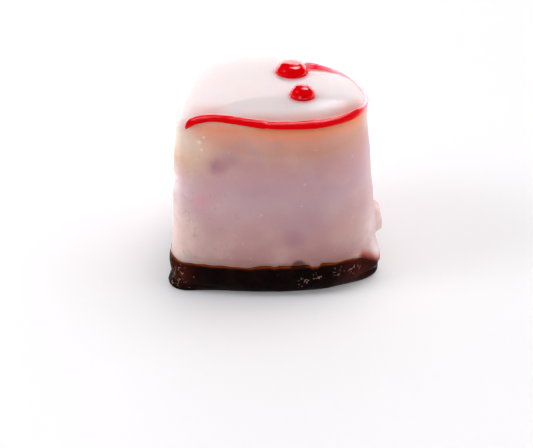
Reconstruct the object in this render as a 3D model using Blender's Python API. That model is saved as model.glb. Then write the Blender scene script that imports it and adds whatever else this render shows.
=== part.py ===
"""Heart petit four: a small glazed mousse heart on a dark chocolate base.

Units are metres and +Z is up. The point of the heart faces -Y and the notch +Y.
The origin is the middle of the footprint, on the surface that the cake stands on.
"""
import math

import bpy
import numpy as np
from mathutils import Vector

MM = 0.001

# Heights
BASE_HEIGHT = 7.2 * MM
RIM_HEIGHT = 37.5 * MM
CROWN_RISE = 0.8 * MM
GAP = 0.3 * MM

# Plan outline of the mousse at its foot, walked as tangent arcs from the point of
# the heart. The two long sides are gentle arcs, and their lengths close the outline.
POINT_RADIUS = 4.0 * MM
NOTCH_RADIUS = 2.05 * MM
NOTCH_TURN = math.radians(32.0)
RIGHT_HALF = {"point_turn": 25.0, "side_turn": 24.7, "lobe_radius": 15.15 * MM,
              "lobe_turn": 129.7, "inner_radius": 13.35 * MM}
LEFT_HALF = {"point_turn": 50.1, "side_turn": 20.6, "lobe_radius": 14.55 * MM,
             "lobe_turn": 88.9, "inner_radius": 8.65 * MM}
ARC_STEP = math.radians(6.0)
SMALLEST_STEPS = 4
TRIAL_SIDE = 20.0 * MM

# Mousse wall and top
WALL_DRAFT = math.radians(4.2)
SHOULDER_RADIUS = 1.8 * MM
SHOULDER_END = math.radians(78.0)
SHOULDER_RINGS = 5
CROWN_RINGS = 6
FOOT_ROUNDING = 0.35 * MM
WALL_LEVELS = 13
LEVEL_EASE = 1.35
LEAN = np.array([-0.46, -0.39]) * MM
TOP_SLOPE = np.array([-0.0146, 0.0173])

# Run of glaze that set as a lump low on the right lobe
RUN_HEIGHT = 8.5 * MM
RUN_REACH = 1.25 * MM
RUN_ABOVE = 3.8 * MM
RUN_BELOW = 0.9 * MM
RUN_FACING = math.radians(28.0)
RUN_WIDTH = 5.2 * MM

# Chocolate base: how far its side stands out from the mousse's foot, by height
BASE_SIDE = [(0.0, -1.7), (0.35, -1.15), (1.1, -0.35), (2.3, 0.3), (3.9, 0.62),
             (5.4, 0.6), (6.6, 0.45), (7.05, 0.2), (7.2, -0.25)]
BASE_WAVES = [(3, 0.16, 0.4), (5, 0.12, 2.1), (9, 0.09, 4.0), (14, 0.06, 1.2)]
LOW_PART = 0.3
# Bulges of the base: the way the side faces there in degrees, then in millimetres
# the width of the bulge, how far it stands out at mid height and at the bottom edge
BASE_BULGES = [(-110.0, 6.0, 0.45, 0.3), (-140.0, 7.0, -0.2, 1.0), (13.0, 5.5, 1.4, 2.6),
               (50.0, 7.0, -1.4, 0.3)]

# Red piped line: stations along the right half of the outline, as the fraction of
# the way from the point to the notch, the inset from the rim and the bead's radius
LINE_ROUTE = [(0.022, 0.03, 0.30), (0.034, 0.25, 0.48), (0.044, 0.77, 0.62), (0.056, 1.32, 0.68),
              (0.069, 1.75, 0.72), (0.088, 2.22, 0.74), (0.112, 2.50, 0.74), (0.142, 2.44, 0.74),
              (0.171, 2.20, 0.74), (0.218, 1.65, 0.74), (0.273, 1.13, 0.74), (0.330, 0.88, 0.74),
              (0.393, 0.80, 0.74), (0.453, 0.82, 0.74), (0.500, 0.75, 0.73), (0.547, 0.55, 0.71),
              (0.600, 0.42, 0.69), (0.650, 0.40, 0.66), (0.700, 0.45, 0.64), (0.800, 0.50, 0.62),
              (0.880, 0.60, 0.68), (0.950, 0.85, 0.90), (0.997, 1.15, 1.08)]
LINE_STEPS = 72
LINE_SIDES = 8
LINE_LIFT = 0.25

# Red drops: plan place, radius and height
DROPS = [((-1.7, 10.75), 3.27, 2.3), ((6.2, 4.6), 2.45, 1.75)]
DROP_SEGMENTS = 24
DROP_RINGS = 12

CAST_HEIGHT = 0.1
SHARP_ANGLE = math.radians(50.0)


def clear_scene():
    for old in list(bpy.data.objects):
        bpy.data.objects.remove(old, do_unlink=True)


def make_material(name, colour, roughness, coat=0.0):
    material = bpy.data.materials.new(name)
    material.use_nodes = True
    shader = material.node_tree.nodes["Principled BSDF"]
    shader.inputs["Base Color"].default_value = (*colour, 1.0)
    shader.inputs["Roughness"].default_value = roughness
    shader.inputs["Metallic"].default_value = 0.0
    shader.inputs["Coat Weight"].default_value = coat
    return material


def walk_arcs(arcs):
    """Walk tangent arcs, each a (length, turn) pair, from the origin heading +X.

    An arc of length L and turn t has radius L / t. A point on it is the start plus
    that radius times (sin h - sin h0, cos h0 - cos h), h being the heading there.
    """
    points = [np.zeros((1, 2))]
    headings = [np.zeros(1)]
    for length, turn in arcs:
        steps = max(SMALLEST_STEPS, math.ceil(abs(turn) / ARC_STEP))
        start_heading = headings[-1][-1]
        heading = start_heading + turn * np.linspace(0.0, 1.0, steps + 1)[1:]
        across = np.sin(heading) - np.sin(start_heading)
        along = np.cos(start_heading) - np.cos(heading)
        points.append(points[-1][-1] + (length / turn) * np.column_stack([across, along]))
        headings.append(heading)
    return np.concatenate(points), np.concatenate(headings)


def half_arcs(half, side_length):
    """The arcs of one half of the heart, from its point to the middle of the notch."""
    point_turn, side_turn, lobe_turn = (
        math.radians(half[key]) for key in ("point_turn", "side_turn", "lobe_turn"))
    inner_turn = math.pi + NOTCH_TURN - point_turn - side_turn - lobe_turn
    return [(POINT_RADIUS * point_turn, point_turn),
            (side_length, side_turn),
            (half["lobe_radius"] * lobe_turn, lobe_turn),
            (half["inner_radius"] * inner_turn, inner_turn),
            (NOTCH_RADIUS * NOTCH_TURN, -NOTCH_TURN)]


def heart_outline():
    """Points, outward normals and headings of the foot outline, anticlockwise.

    The end of the walk moves linearly with the lengths of the two sides, so three
    trial walks give the pair of lengths that brings it back to the start.
    """
    def whole(right_side, left_side):
        right = half_arcs(RIGHT_HALF, right_side)
        left = half_arcs(LEFT_HALF, left_side)
        return walk_arcs(right + left[::-1])

    end = whole(TRIAL_SIDE, TRIAL_SIDE)[0][-1]
    right_gain = (whole(2 * TRIAL_SIDE, TRIAL_SIDE)[0][-1] - end) / TRIAL_SIDE
    left_gain = (whole(TRIAL_SIDE, 2 * TRIAL_SIDE)[0][-1] - end) / TRIAL_SIDE
    change = np.linalg.solve(np.column_stack([right_gain, left_gain]), -end)
    points, heading = whole(TRIAL_SIDE + change[0], TRIAL_SIDE + change[1])
    points, heading = points[:-1], heading[:-1]
    normals = np.column_stack([np.sin(heading), -np.cos(heading)])
    centre = (points.min(axis=0) + points.max(axis=0)) / 2
    return points - centre, normals, heading


def bell_round(points, heading, facing, width):
    """1 at the outline point whose normal faces `facing`, a bell of plan distance round it."""
    turned = (heading - math.pi / 2 - facing + math.pi) % (2 * math.pi) - math.pi
    middle = points[np.argmin(np.abs(turned))]
    return np.exp(-(np.linalg.norm(points - middle, axis=1) / width) ** 2)


def wall_inset(height):
    """How far the drafted wall has leaned in from the foot at a height."""
    return (height - BASE_HEIGHT) * math.tan(WALL_DRAFT)


def glaze_run(points, heading, height):
    """How far the set run of glaze stands out of the wall: a bell across, a longer
    bell above its lower lip and a short one below."""
    reach = RUN_ABOVE if height > RUN_HEIGHT else RUN_BELOW
    down = math.exp(-((height - RUN_HEIGHT) / reach) ** 2)
    return RUN_REACH * down * bell_round(points, heading, RUN_FACING, RUN_WIDTH)


def mousse_ring(points, normals, height, out):
    """The outline at a height, moved out along its normals, leaning and tilted.

    The sideways lean grows fastest low down, and the tilt of the top fades to nothing
    at the foot.
    """
    share = (height - BASE_HEIGHT) / (RIM_HEIGHT - BASE_HEIGHT)
    place = points + LEAN * (1 - (1 - share) ** 2) + normals * np.reshape(out, (-1, 1))
    return np.column_stack([place, height + place @ TOP_SLOPE * share**2])


def ring_at(points, height):
    return np.column_stack([points, np.full(len(points), height)])


def mousse_rings(points, normals, heading):
    """Rings of the mousse from its foot to near the middle of its top."""
    bottom = BASE_HEIGHT + GAP
    shoulder_foot = RIM_HEIGHT - SHOULDER_RADIUS
    share = np.linspace(0.0, 1.0, WALL_LEVELS) ** LEVEL_EASE
    rings = [ring_at(points - normals * FOOT_ROUNDING, bottom)]
    for height in bottom + FOOT_ROUNDING + share * (shoulder_foot - bottom - FOOT_ROUNDING):
        out = glaze_run(points, heading, height) - wall_inset(height)
        rings.append(mousse_ring(points, normals, height, out))
    for angle in np.linspace(0.0, SHOULDER_END, SHOULDER_RINGS + 1)[1:]:
        inset = wall_inset(shoulder_foot) + SHOULDER_RADIUS * (1 - math.cos(angle))
        height = shoulder_foot + SHOULDER_RADIUS * math.sin(angle)
        rings.append(mousse_ring(points, normals, height, -inset))
    rim = rings[-1]
    middle = np.array([0.0, 0.0, height])
    for scale in np.linspace(1.0, 0.0, CROWN_RINGS + 1)[1:-1]:
        rise = CROWN_RISE * (1 - scale ** 3)
        rings.append(middle + (rim - middle) * scale + (0.0, 0.0, rise))
    return rings, height + CROWN_RISE


def base_rings(points, normals, heading):
    """Rings of the chocolate base, whose side swells and waves round the outline."""
    wave = sum(size * np.sin(count * heading + phase) for count, size, phase in BASE_WAVES)
    bells = [bell_round(points, heading, math.radians(facing), width * MM)
             for facing, width, _, _ in BASE_BULGES]
    rings = []
    for height, out in BASE_SIDE:
        middle = math.sin(math.pi * height * MM / BASE_HEIGHT)
        low = max(0.0, 1.0 - height * MM / (LOW_PART * BASE_HEIGHT))
        offset = out + wave * middle
        for bell, (_, _, out_middle, out_low) in zip(bells, BASE_BULGES):
            offset = offset + bell * (out_middle * middle + out_low * low)
        rings.append(ring_at(points + normals * offset[:, None] * MM, height * MM))
    return rings


def solid_from_rings(name, rings, low_height, high_height, material):
    """A closed solid skinned over the rings, with a fan of triangles at both ends."""
    count = len(rings[0])
    low_index = len(rings) * count
    high_index = low_index + 1
    verts = np.vstack(rings + [[(0.0, 0.0, low_height)], [(0.0, 0.0, high_height)]])
    here = np.arange(count)
    after = np.roll(here, -1)
    faces = []
    for level in range(len(rings) - 1):
        low = level * count
        high = low + count
        faces += np.column_stack([low + here, low + after, high + after, high + here]).tolist()
    last = (len(rings) - 1) * count
    faces += np.column_stack([after, here, np.full(count, low_index)]).tolist()
    faces += np.column_stack([last + here, last + after, np.full(count, high_index)]).tolist()
    return mesh_object(name, verts, faces, material)


def mesh_object(name, verts, faces, material):
    mesh = bpy.data.meshes.new(name)
    mesh.from_pydata(np.asarray(verts).tolist(), [], faces)
    mesh.materials.append(material)
    mesh.shade_smooth()
    mesh.set_sharp_from_angle(angle=SHARP_ANGLE)
    mesh.validate()
    obj = bpy.data.objects.new(name, mesh)
    bpy.context.scene.collection.objects.link(obj)
    return obj


def drop_onto(surface, plan_point):
    """Where a plumb line at a plan point meets the surface, and the normal there."""
    hit, place, normal, _ = surface.ray_cast(Vector((*plan_point, CAST_HEIGHT)), (0.0, 0.0, -1.0))
    if not hit:
        raise ValueError("a topping lies off the top of the mousse")
    return np.array(place), np.array(normal)


def smooth_between(stations, columns, where):
    """Values of each column at `where`, eased along a cubic through the stations."""
    slopes = np.gradient(columns, stations, axis=0)
    spot = np.clip(np.searchsorted(stations, where, side="right") - 1, 0, len(stations) - 2)
    width = stations[spot + 1] - stations[spot]
    t = ((where - stations[spot]) / width)[:, None]
    width = width[:, None]
    low, high = columns[spot], columns[spot + 1]
    low_slope, high_slope = slopes[spot] * width, slopes[spot + 1] * width
    return ((2 * t**3 - 3 * t**2 + 1) * low + (t**3 - 2 * t**2 + t) * low_slope
            + (3 * t**2 - 2 * t**3) * high + (t**3 - t**2) * high_slope)


def line_path(surface, points, normals, notch_index):
    """Centres and radii of the piped bead, laid on the top from point to notch."""
    right = slice(0, notch_index + 1)
    inset = wall_inset(RIM_HEIGHT - SHOULDER_RADIUS)
    rim = mousse_ring(points, normals, RIM_HEIGHT, -inset)[right]
    travelled = np.concatenate([[0.0], np.cumsum(np.linalg.norm(np.diff(points[right], axis=0), axis=1))])
    share = travelled / travelled[-1]
    route = np.array(LINE_ROUTE)
    station_plan = np.column_stack([np.interp(route[:, 0], share, rim[:, axis]) for axis in (0, 1)])
    station_normal = np.column_stack(
        [np.interp(route[:, 0], share, normals[right][:, axis]) for axis in (0, 1)])
    station_plan -= station_normal * route[:, 1:2] * MM
    gone = np.concatenate([[0.0], np.cumsum(np.linalg.norm(np.diff(station_plan, axis=0), axis=1))])
    where = np.linspace(0.0, gone[-1], LINE_STEPS)
    smooth = smooth_between(gone, np.column_stack([station_plan, route[:, 2] * MM]), where)
    centres = []
    for plan_x, plan_y, radius in smooth:
        place, normal = drop_onto(surface, (plan_x, plan_y))
        centres.append(place + normal * radius * LINE_LIFT)
    return np.array(centres), smooth[:, 2]


def bead_along(name, centres, radii, material):
    """A round bead: a ring of points about each centre, and a tip at each end."""
    along = np.gradient(centres, axis=0)
    along /= np.linalg.norm(along, axis=1)[:, None]
    side = np.cross(along, (0.0, 0.0, 1.0))
    side /= np.linalg.norm(side, axis=1)[:, None]
    up = np.cross(side, along)
    angle = np.linspace(0.0, 2 * math.pi, LINE_SIDES, endpoint=False)
    ring = (np.cos(angle)[None, :, None] * side[:, None, :]
            + np.sin(angle)[None, :, None] * up[:, None, :])
    verts = (centres[:, None, :] + ring * radii[:, None, None]).reshape(-1, 3)
    tips = np.array([centres[0] - along[0] * radii[0], centres[-1] + along[-1] * radii[-1]])
    first_tip = len(verts)
    here = np.arange(LINE_SIDES)
    after = np.roll(here, -1)
    faces = []
    for station in range(len(centres) - 1):
        near = station * LINE_SIDES
        far = near + LINE_SIDES
        faces += np.column_stack([near + here, far + here, far + after, near + after]).tolist()
    last = (len(centres) - 1) * LINE_SIDES
    faces += np.column_stack([here, after, np.full(LINE_SIDES, first_tip)]).tolist()
    faces += np.column_stack([last + after, last + here, np.full(LINE_SIDES, first_tip + 1)]).tolist()
    return mesh_object(name, np.vstack([verts, tips]), faces, material)


def red_drop(name, surface, plan_point, radius, height, material):
    """A set drop: an ellipsoid whose middle lies on the top of the mousse."""
    place, _ = drop_onto(surface, (plan_point[0] * MM, plan_point[1] * MM))
    bpy.ops.mesh.primitive_uv_sphere_add(segments=DROP_SEGMENTS, ring_count=DROP_RINGS, radius=1.0)
    drop = bpy.context.active_object
    drop.name = name
    scale = np.array([radius, radius, height]) * MM
    unit = np.array([vertex.co for vertex in drop.data.vertices])
    drop.data.vertices.foreach_set("co", (unit * scale + place).ravel())
    drop.data.materials.append(material)
    drop.data.shade_smooth()
    return drop


def fuse(body, toppings):
    """Join the toppings to the body with one Boolean union, then drop the loose ones."""
    group = bpy.data.collections.new("toppings")
    for topping in toppings:
        for owner in topping.users_collection:
            owner.objects.unlink(topping)
        group.objects.link(topping)
    union = body.modifiers.new("join_toppings", "BOOLEAN")
    union.operation = "UNION"
    union.operand_type = "COLLECTION"
    union.collection = group
    union.solver = "EXACT"
    union.material_mode = "TRANSFER"
    bpy.context.scene.collection.children.link(group)
    bpy.context.view_layer.update()
    joined = bpy.data.meshes.new_from_object(
        body.evaluated_get(bpy.context.evaluated_depsgraph_get()))
    body.modifiers.clear()
    body.data = joined
    for topping in toppings:
        bpy.data.objects.remove(topping, do_unlink=True)
    bpy.data.collections.remove(group)


def main():
    clear_scene()
    glaze = make_material("pale_glaze", (0.78, 0.58, 0.54), 0.22, coat=0.5)
    jelly = make_material("red_jelly", (0.62, 0.006, 0.010), 0.12, coat=0.6)
    chocolate = make_material("dark_chocolate", (0.022, 0.009, 0.006), 0.3)

    points, normals, heading = heart_outline()
    notch_index = int(np.argmin(np.where(points[:, 1] > 0, np.abs(heading - math.pi), math.inf)))
    base = base_rings(points, normals, heading)
    footprint = np.vstack(base)[:, :2]
    points -= (footprint.min(axis=0) + footprint.max(axis=0)) / 2
    base = base_rings(points, normals, heading)

    solid_from_rings("chocolate_base", base, 0.0, BASE_HEIGHT, chocolate)
    mousse, crown_height = mousse_rings(points, normals, heading)
    heart = solid_from_rings("mousse_heart", mousse, BASE_HEIGHT + GAP, crown_height, glaze)
    centres, radii = line_path(heart, points, normals, notch_index)
    toppings = [bead_along("piped_line", centres, radii, jelly)]
    for number, (plan_point, radius, height) in enumerate(DROPS):
        toppings.append(red_drop(f"drop_{number}", heart, plan_point, radius, height, jelly))
    fuse(heart, toppings)


main()
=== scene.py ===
"""Looks of the heart petit four: glazed mousse, red jelly line and drops, dark chocolate base.

Shapes are worked out in millimetres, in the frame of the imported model, and turned into
metres when the mesh is made. The point of the heart faces -Y and its notch +Y. Each
surface is a grid of rows: a row runs anticlockwise round the outline of the heart, and
the rows climb from the underside to the top.
"""
import math

import bpy
import numpy as np
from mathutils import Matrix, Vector


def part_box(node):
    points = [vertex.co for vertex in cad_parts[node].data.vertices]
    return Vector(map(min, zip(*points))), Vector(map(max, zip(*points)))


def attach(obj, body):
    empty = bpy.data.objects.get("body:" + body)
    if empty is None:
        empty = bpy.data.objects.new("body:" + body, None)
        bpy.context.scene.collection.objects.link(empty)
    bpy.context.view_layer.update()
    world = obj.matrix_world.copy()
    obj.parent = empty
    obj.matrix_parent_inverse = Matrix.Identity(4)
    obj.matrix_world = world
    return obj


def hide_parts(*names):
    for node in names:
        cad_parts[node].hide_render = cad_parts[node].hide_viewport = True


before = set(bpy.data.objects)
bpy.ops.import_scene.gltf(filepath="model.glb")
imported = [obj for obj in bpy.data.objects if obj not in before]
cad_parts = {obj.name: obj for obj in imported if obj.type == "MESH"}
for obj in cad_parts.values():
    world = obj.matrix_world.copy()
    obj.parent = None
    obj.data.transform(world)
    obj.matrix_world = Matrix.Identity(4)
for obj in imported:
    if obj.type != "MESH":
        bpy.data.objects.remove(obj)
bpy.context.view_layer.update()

MM = 0.001

# Heart outline at the foot of the mousse: tangent arcs from the point to the notch
POINT_RADIUS = 4.0
NOTCH_RADIUS = 2.05
NOTCH_TURN = 32.0
RIGHT_HALF = {"point_turn": 25.0, "side_turn": 24.7, "lobe_radius": 15.15,
              "lobe_turn": 129.7, "inner_radius": 13.35}
LEFT_HALF = {"point_turn": 50.1, "side_turn": 20.6, "lobe_radius": 14.55,
             "lobe_turn": 88.9, "inner_radius": 8.65}
TRIAL_SIDE = 20.0
MOUSSE_STEPS = 480
SLAB_STEPS = 960

# Mousse: wall, shoulder and crown
BASE_HEIGHT = 7.2
FOOT_HEIGHT = 7.5
FOOT_RING_HEIGHT = 7.85
RIM_HEIGHT = 37.5
SHOULDER_RADIUS = 1.8
SHOULDER_END = math.radians(78.0)
WALL_DRAFT = math.radians(4.2)
LEAN = np.array([-0.46, -0.39])
TOP_SLOPE = np.array([-0.0146, 0.0173])
CROWN_RISE = 0.8
CROWN_FALL = 2.2
DROP_FOOT = 38.03
WALL_ROWS = 125
SHOULDER_ROWS = 10
CROWN_ROWS = 45
LIP_RADIUS = 0.3
UNDER_INSET = 2.6
UNDER_HEIGHT = FOOT_HEIGHT - 0.1

# Lower edge of the glaze: how far it hangs below the foot, by the length along the outline
# from the point, and the rounded lobes where a drop of it ran further
EDGE_DROP = [
    (-8, 0.3), (-3, 0.3), (0, 0.3), (2, 0.45), (4, 0.48), (6, 0.42), (8, 0.36), (10, 0.36),
    (12, 0.4), (14, 0.48), (16, 0.34), (18, 0.26), (20, 0.22), (28, 0.22), (30, 0.26), (32, 0.36),
    (34, 0.42), (36, 0.75), (38, 1.3), (40, 2.6), (42, 3.8), (44, 4.7), (46, 5.2), (48, 5.3),
    (52, 4.6), (56, 2.6), (60, 0.9), (64, 0.3), (100, 0.45), (115, 0.3)]
EDGE_LOBES = [((16.5, -4.4), 1.0, 0.45), ((10.9, -10.1), 0.8, 0.2)]
GLAZE_FILM = 0.16

# Glaze that set thick: the lump above the lower edge on the right lobe, the dent on the left
LUMP = {"along": 50.4, "width": 2.7, "low": 6.9, "high": 11.6, "reach": 1.15, "belly": 0.4}
DENT_PLACE = (-8.4, -18.8)
DENT_WIDTH = 4.2
DENT_HEIGHTS = [20.0, 20.8, 21.5, 23.8, 24.5, 25.1, 25.8, 27.0, 30.0, 32.0]
DENT_OUT = [0.0, 0.02, -0.27, -0.3, -0.6, -0.6, 0.02, 0.1, 0.04, 0.0]

# Chocolate base: its side by height and how far out, its waves and its bulges, which are the
# way each faces, its width, and how far out it stands at the middle, low and high; then the
# tufts, each a plan place, a height and a radius
SIDE_HEIGHTS = [0.0, 0.35, 1.1, 2.3, 3.9, 5.4, 6.6, 7.05, 7.2]
SIDE_OUT = [-1.7, -1.15, -0.35, 0.3, 0.62, 0.6, 0.45, 0.2, -0.25]
BASE_WAVES = [(3, 0.16, 0.4), (5, 0.12, 2.1), (9, 0.09, 4.0), (14, 0.06, 1.2)]
LOW_PART = 0.3
BASE_BULGES = [
    (-110.0, 6.0, 0.35, 0.8, 0.0), (-140.0, 7.0, -0.35, 1.7, 0.0), (13.0, 5.5, 1.75, 2.6, 0.0),
    (34.0, 4.0, -0.5, 0.6, -0.3), (50.0, 7.0, -1.4, 0.3, -0.5)]
HIDDEN_INSET = 0.15
RIM_CLIMB = 0.12
BASE_ROWS = 64
TUFTS = [
    ((15.3, -6.5), 3.5, 1.3), ((17.3, -4.5), 4.8, 1.0), ((19.7, -0.75), 5.2, 1.35),
    ((20.9, 2.35), 4.6, 1.1), ((21.3, 4.4), 4.9, 0.8), ((21.9, 8.6), 2.4, 0.9),
    ((-7.3, -21.2), 3.7, 1.5), ((-5.2, -21.4), 4.4, 1.3), ((-4.4, -21.0), 5.6, 1.0),
    ((-6.3, -21.5), 2.0, 1.6), ((-3.6, -20.6), 1.6, 1.2)]
TUFT_RELIEF = 0.38

# Red piped line: stations round the right half of the outline, as the fraction of the way
# from the point to the notch, then the inset from the shoulder's foot, half the bead's
# width, its height as a share of its width, and how thin and pale the jelly is, the paleness
# being partly a painted reflection of the bright backdrop. Its crest lies inward of its
# middle by a share of half its width.
LINE_ROUTE = [
    (0.0335, 0.1, 0.2, 0.9, 0.0), (0.038, 0.42, 0.5, 0.85, 0.0), (0.046, 1.0, 0.8, 0.62, 0.0),
    (0.056, 1.56, 0.92, 0.52, 0.0), (0.069, 2.04, 1.0, 0.46, 0.0), (0.088, 2.52, 1.02, 0.44, 0.0),
    (0.112, 2.78, 1.02, 0.44, 0.0), (0.142, 2.7, 1.0, 0.44, 0.0), (0.171, 2.46, 0.97, 0.46, 0.0),
    (0.218, 1.9, 0.94, 0.47, 0.0), (0.273, 1.37, 0.93, 0.47, 0.0), (0.33, 1.12, 0.93, 0.47, 0.0),
    (0.393, 1.04, 0.93, 0.47, 0.0), (0.453, 1.0, 0.9, 0.47, 0.0), (0.5, 0.88, 0.85, 0.5, 0.0),
    (0.547, 0.68, 0.78, 0.54, 0.0), (0.585, 0.54, 0.68, 0.58, 0.05), (0.62, 0.38, 0.6, 0.64, 0.28),
    (0.657, 0.24, 0.58, 0.68, 0.62), (0.685, 0.22, 0.64, 0.7, 0.82), (0.715, 0.38, 0.72, 0.68, 0.86),
    (0.745, 0.58, 0.72, 0.62, 0.86), (0.775, 0.66, 0.66, 0.64, 0.76), (0.826, 0.63, 0.6, 0.7, 0.58),
    (0.855, 0.74, 0.57, 0.72, 0.5), (0.89, 0.72, 0.64, 0.76, 0.4), (0.922, 0.8, 0.78, 0.8, 0.2),
    (0.958, 0.7, 0.92, 0.92, 0.07), (0.985, 0.72, 1.18, 0.96, 0.05), (0.998, 0.86, 1.35, 0.94, 0.3)]
CREST_SHIFT = -0.3
LINE_GLOW = 9.0
LINE_STATIONS = 420
LINE_SIDES = 24

# Red drops: plan place, radius, height, and how flat the top is (1 is an ellipsoid's)
DROPS = {"large_drop": ((-2.28, 10.84), 3.24, 2.02, 0.52),
         "small_drop": ((5.87, 4.32), 2.46, 2.15, 0.64)}
DROP_SIDES = 96
DROP_ROWS = 56

# Colours of the glazed mousse: on the wall by height in millimetres; under the rim away from the
# line, its own colour where no glow is painted; by the line, a painted red-orange glow; on the top,
# by the line there, a painted red glow and shade, and by the drops, a painted red reflection of each
GLAZE_BANDS = [
    (8.0, (0.48, 0.26, 0.245)), (12.1, (0.59, 0.345, 0.33)), (15.1, (0.62, 0.375, 0.375)),
    (20.0, (0.65, 0.44, 0.47)), (24.8, (0.645, 0.4, 0.43)), (28.9, (0.66, 0.38, 0.363)),
    # The orange of these top three bands is a painted glow from the red line, taken out under the rim
    # away from it
    (32.4, (0.7, 0.37, 0.276)), (34.1, (0.78, 0.387, 0.287)), (36.2, (0.887, 0.363, 0.23))]
WALL_AWAY_FROM_GLOW = (0.89, 0.76, 0.69)
WALL_LINE_GLOW = (0.97, 0.32, 0.13)
TOP_COLOUR = (0.89, 0.775, 0.775)
TOP_LINE_GLOW_AND_SHADE = (0.80, 0.42, 0.37)
TOP_DROP_REFLECTION = (0.92, 0.36, 0.40)
DROP_REFLECTIONS = [("large_drop", 3.3), ("small_drop", 2.5)]

# Soft spots in the glaze: place, radius, colour, strength, and one on the top by the tip of the
# line; the pale spots at the point and on the right lobe are painted light, pallor for light through
# the thin edges and off their sides. Then flecks: place, radius, colour, and how wide the glaze is
# raised there; the white ones are painted highlights on raised bumps
TIP_BLUSH = ((-3.4, -13.0, 37.8), 5.6, (0.97, 0.47, 0.42), 0.6)
GLAZE_BLOTCHES_AND_PAINTED_PALLOR = [
    ((0.7, -15.2, 28.8), 3.0, (0.47, 0.22, 0.26), 0.95),
    ((3.0, -14.0, 30.9), 3.2, (0.54, 0.29, 0.3), 0.6),
    ((-1.6, -16.4, 34.8), 4.2, (0.9, 0.5, 0.38), 0.5),
    ((13.2, -7.0, 13.0), 3.4, (0.47, 0.24, 0.29), 0.8),
    ((14.4, -5.0, 16.6), 7.0, (0.55, 0.35, 0.4), 0.5),
    ((-2.0, -17.6, 20.6), 3.6, (0.8, 0.35, 0.4), 0.55),
    ((-3.4, -19.0, 10.4), 2.8, (0.8, 0.42, 0.38), 0.5),
    # Painted light: pallor at the point of the heart, for light through its thin edge
    ((-4.6, -18.2, 31.0), 6.5, (0.86, 0.68, 0.46), 0.7),
    ((-5.4, -19.4, 14.0), 6.5, (0.82, 0.62, 0.5), 0.6),
    ((-7.8, -19.8, 23.5), 7.6, (0.92, 0.8, 0.8), 0.75),
    ((-7.6, -20.2, 16.0), 8.4, (0.92, 0.78, 0.74), 0.7),
    ((-6.0, -20.6, 9.0), 10.5, (0.9, 0.74, 0.68), 0.65),
    # Painted light, the next three: pallor on the right lobe and by the rim at both ends
    ((18.0, 16.6, 9.6), 5.0, (0.95, 0.85, 0.83), 0.5),
    ((-7.6, -18.0, 34.5), 5.5, (0.94, 0.85, 0.76), 0.8),
    ((17.4, 12.6, 34.0), 5.5, (0.93, 0.8, 0.76), 0.6),
    ((19.6, 2.0, 12.6), 6.0, (0.72, 0.5, 0.44), 0.4),
    # Painted light: pallor on the right lobe
    ((19.6, 11.0, 9.6), 9.5, (0.9, 0.76, 0.75), 0.6)]
GLAZE_FLECKS_AND_GLINTS = [
    ((17.5, -1.3, 19.3), 0.26, (0.72, 0.33, 0.1), 0.0),
    ((14.5, -6.0, 12.2), 0.24, (0.62, 0.24, 0.08), 0.0),
    ((11.7, -9.1, 9.9), 0.24, (0.66, 0.3, 0.12), 0.0),
    # Painted highlights: white on these three raised glaze bumps
    ((-2.2, -17.0, 33.8), 0.6, (0.92, 0.84, 0.78), 0.5),
    ((-1.5, -16.6, 34.8), 0.4, (0.9, 0.78, 0.7), 0.3),
    ((-1.8, -17.0, 32.2), 0.42, (0.9, 0.78, 0.7), 0.32),
    ((18.0, 14.3, 3.1), 0.5, (0.16, 0.055, 0.03), 0.5)]

# Where the glaze is so thin that the chocolate shows through: place, radius, core, strength;
# the veil at the right end, a place, a radius and a core, with the white drop beside it; and
# the left corner, a place and a radius, where the wall is shinier and has fine hair lines
DARK_SHOWING = [((14.4, -6.8, 6.8), 2.0, 1.1, 0.95), ((10.9, -10.4, 7.0), 0.9, 0.0, 0.3),
                ((16.8, -4.6, 6.2), 1.6, 0.2, 0.6)]
VEIL = ((22.1, 7.9, 5.2), 4.5, 2.7)
VEIL_WHITE = ((22.6, 10.3, 6.8), 3.3, 0.8)
LEFT_CORNER = ((-2.0, -18.0, 17.0), 15.0)

# Jelly: where the thin end of the line starts by the large drop, which is also given a painted glow, and
# a bubble in the small one, whose glint is painted as a paler spot
LINE_ROOT = ((-0.4, 17.2, 38.0), 5.2, 3.2)
BUBBLE_GLINT = ((6.9, 2.3, 38.8), 0.34, 0.1)

# Chocolate: browner spots at its left and right ends, and where glaze covers the painted orange
# highlight of its upper edge
CHOCOLATE_TINTS = [((-5.2, -21.0, 4.6), 5.0, (0.066, 0.0085, 0.0035), 0.85),
                   ((21.0, 4.0, 4.5), 7.5, (0.058, 0.0085, 0.0055), 0.85)]
EDGE_COVERED = [((21.8, 8.4, 6.0), 5.6, 3.6), ((14.6, -7.0, 7.0), 2.0, 1.2)]

# Camera
VIEW_AZIMUTH = math.radians(40.2)
VIEW_ELEVATION = math.radians(31.47)
VIEW_DISTANCE = 350.0
VIEW_TARGET = (0.008, 0.273, 7.96)
FOCAL_PIXELS = 1691.0
IMAGE_WIDTH = 533.0
SENSOR_WIDTH = 36.0

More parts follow.
